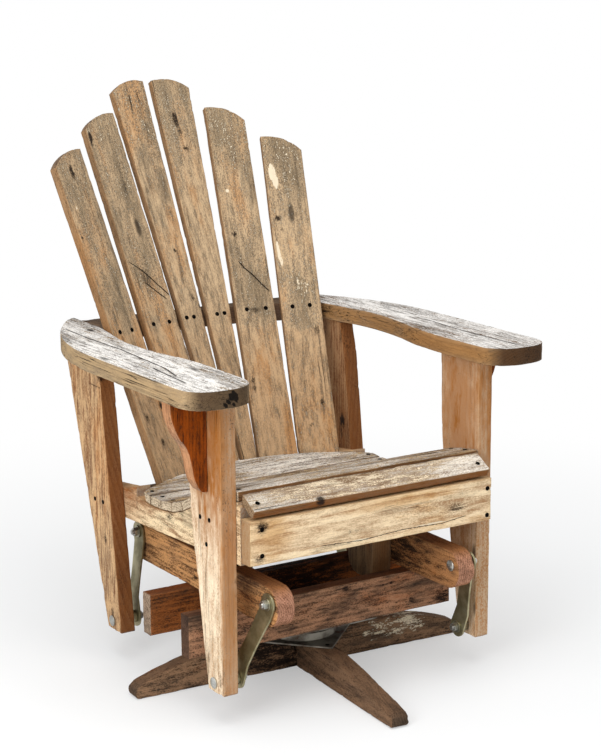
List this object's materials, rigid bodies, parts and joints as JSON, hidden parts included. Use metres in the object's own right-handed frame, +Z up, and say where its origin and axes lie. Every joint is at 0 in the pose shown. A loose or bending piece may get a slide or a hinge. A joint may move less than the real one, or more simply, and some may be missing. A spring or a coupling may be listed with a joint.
{
  "type": "garden glider chair",
  "caption": "Slatted garden armchair with a tall fan back and dished seat, hung on steel swing links from a wooden frame that swivels on a crossed foot.",
  "frame": {"origin": "on the floor under the swivel axis, where the foot bars cross", "axes": "+Z up along the swivel axis, -Y towards the front of the chair, +X towards the sitter's left arm; the chair is stored facing -Y with the seat at rest; left and right in the names of pieces are as seen from in front of the chair, so left is -X"},
  "size_m": [0.776, 0.9765, 1.0939],
  "materials": {
    "foot_bar_side": "weathered, dry",
    "foot_bar_front": "weathered, dry",
    "swivel_steel": "stamped, dull",
    "screw_steel": "weathered, dull",
    "ball_steel": "polished",
    "cross_member_front": "weathered, dry",
    "cross_member_rear": "weathered, dry",
    "frame_rail_left": "weathered, dry",
    "frame_rail_right": "weathered, dry",
    "corner_block_left": "weathered, dry",
    "corner_block_right": "weathered, dry",
    "bolt_zinc": "zinc plated, bright",
    "washer_zinc": "zinc plated, bright",
    "link_steel": "yellow zinc, worn",
    "front_leg_left": "weathered, dry",
    "front_leg_right": "weathered, dry",
    "rear_leg_left": "weathered, dry",
    "rear_leg_right": "weathered, dry",
    "seat_rail_left": "weathered, dry",
    "seat_rail_right": "weathered, dry",
    "apron": "weathered, dry",
    "front_slat": "weathered, dry",
    "deck_slat_1": "weathered, dry",
    "deck_slat_2": "weathered, dry",
    "deck_slat_3": "weathered, dry",
    "deck_slat_4": "weathered, dry",
    "deck_slat_5": "weathered, dry",
    "deck_slat_6": "weathered, dry",
    "deck_slat_7": "weathered, dry",
    "deck_slat_8": "weathered, dry",
    "deck_slat_rear": "weathered, dry",
    "back_slat_left_outer": "weathered, dry",
    "back_slat_left_middle": "weathered, dry",
    "back_slat_left_inner": "weathered, dry",
    "back_slat_right_inner": "weathered, dry",
    "back_slat_right_middle": "weathered, dry",
    "back_slat_right_outer": "weathered, dry",
    "back_rail": "weathered, dry",
    "back_cleat": "weathered, dry",
    "arm_left": "weathered, dry",
    "arm_right": "weathered, dry",
    "bracket_left": "weathered, dry",
    "bracket_right": "weathered, dry"
  },
  "bodies": {
    "base": {"foot_bar_side": "foot_bar_side", "foot_bar_front": "foot_bar_front", "swivel_plate_lower": "swivel_steel", "foot_screws": "screw_steel", "bearing_balls": "ball_steel", "swivel_rivet": "swivel_steel"},
    "turntable": {"swivel_plate_upper": "swivel_steel", "cross_member_front": "cross_member_front", "cross_member_rear": "cross_member_rear", "frame_rail_left": "frame_rail_left", "frame_rail_right": "frame_rail_right", "corner_block_left": "corner_block_left", "corner_block_right": "corner_block_right", "upper_pivot_bolts": "bolt_zinc", "upper_pivot_washers": "washer_zinc", "upper_pivot_nuts": "bolt_zinc", "plate_screws": "screw_steel", "frame_screws": "screw_steel"},
    "front_links": {"front_link_left": "link_steel", "front_link_right": "link_steel"},
    "rear_links": {"rear_link_left": "link_steel", "rear_link_right": "link_steel"},
    "seat": {"front_leg_left": "front_leg_left", "front_leg_right": "front_leg_right", "rear_leg_left": "rear_leg_left", "rear_leg_right": "rear_leg_right", "seat_rail_left": "seat_rail_left", "seat_rail_right": "seat_rail_right", "apron": "apron", "front_slat": "front_slat", "deck_slat_1": "deck_slat_1", "deck_slat_2": "deck_slat_2", "deck_slat_3": "deck_slat_3", "deck_slat_4": "deck_slat_4", "deck_slat_5": "deck_slat_5", "deck_slat_6": "deck_slat_6", "deck_slat_7": "deck_slat_7", "deck_slat_8": "deck_slat_8", "deck_slat_rear": "deck_slat_rear", "back_slat_left_outer": "back_slat_left_outer", "back_slat_left_middle": "back_slat_left_middle", "back_slat_left_inner": "back_slat_left_inner", "back_slat_right_inner": "back_slat_right_inner", "back_slat_right_middle": "back_slat_right_middle", "back_slat_right_outer": "back_slat_right_outer", "back_rail": "back_rail", "back_cleat": "back_cleat", "arm_left": "arm_left", "arm_right": "arm_right", "bracket_left": "bracket_left", "bracket_right": "bracket_right", "lower_pivot_bolts": "bolt_zinc", "lower_pivot_spacers": "washer_zinc", "lower_pivot_washers": "washer_zinc", "lower_pivot_nuts": "bolt_zinc", "back_screws": "screw_steel", "seat_screws": "screw_steel", "apron_screws": "screw_steel", "leg_screws": "screw_steel"}
  },
  "joints": [
    {"name": "swivel", "type": "hinge", "parent": "base", "child": "turntable", "pos_m": [0, 0, 0.085], "axis": [0, 0, 1], "continuous": true},
    {"name": "glide", "type": "hinge", "parent": "turntable", "child": "front_links", "pos_m": [0, -0.245, 0.232], "axis": [1, 0, 0], "range_deg": [-12, 8]},
    {"name": "seat_tilt", "type": "hinge", "parent": "front_links", "child": "seat", "pos_m": [0, -0.18106, 0.07989], "axis": [1, 0, 0], "range_deg": [-9.8, 14.7]},
    {"name": "rear_swing", "type": "hinge", "parent": "turntable", "child": "rear_links", "pos_m": [0, 0.238, 0.243], "axis": [1, 0, 0], "range_deg": [-11.5, 7.7]}
  ],
  "couplings": [
    {"joint": "seat_tilt", "follows": "glide", "ratio": -1.222},
    {"joint": "rear_swing", "follows": "glide", "ratio": 0.956}
  ]
}
